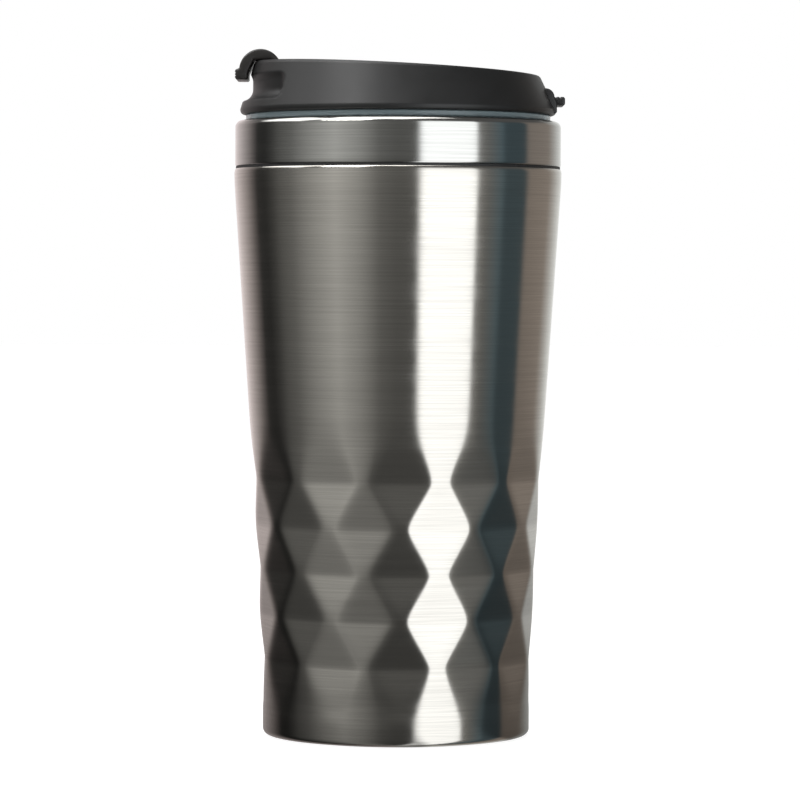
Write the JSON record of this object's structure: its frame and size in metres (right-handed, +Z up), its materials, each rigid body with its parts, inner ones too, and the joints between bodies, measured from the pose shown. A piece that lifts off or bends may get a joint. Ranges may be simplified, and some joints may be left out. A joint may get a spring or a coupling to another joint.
{
  "type": "insulated travel mug",
  "caption": "Steel travel mug with a faceted lower body, a collar ring and a black push-on lid whose flip strap closes the drinking slot.",
  "frame": {"origin": "centre of the foot pad's underside, on the surface that the mug stands on", "axes": "+Z up along the mug's axis; -X is the drinking side with the thumb tab; +X is the side with the pry tab"},
  "size_m": [0.0806, 0.08, 0.1675],
  "materials": {
    "brushed_steel_body": "stainless steel, fine brushing around the body, darkened and glossy",
    "brushed_steel_collar": "stainless steel, fine brushing around the ring, polished top edge",
    "black_silicone": "satin black silicone",
    "liner_plastic": "smooth moulded black polypropylene",
    "base_plastic": "moulded black polypropylene",
    "pad_foam": "dark non-slip foam",
    "lid_plastic": "fine-textured satin black polypropylene",
    "strap_plastic": "satin black polypropylene",
    "clear_silicone": "clear, glossy, faintly blue-grey silicone",
    "pin_steel": "plain drawn steel wire"
  },
  "bodies": {
    "mug": {"outer_shell": "brushed_steel_body", "seam_gasket": "black_silicone", "collar_ring": "brushed_steel_collar", "inner_liner": "liner_plastic", "base_cap": "base_plastic", "foot_pad": "pad_foam"},
    "lid": {"lid_cap": "lid_plastic", "lid_plug_ring": "lid_plastic", "lid_seal": "clear_silicone", "hinge_pin": "pin_steel"},
    "strap": {"flip_strap": "strap_plastic", "spout_plug": "black_silicone"}
  },
  "joints": [
    {"name": "lid_lift", "type": "slide", "parent": "mug", "child": "lid", "axis": [0, 0, 1], "range_m": [0, 0.06]},
    {"name": "strap_flip", "type": "hinge", "parent": "lid", "child": "strap", "pos_m": [0.008, 0, 0.16125], "axis": [0, 1, 0], "range_deg": [0, 165]}
  ]
}
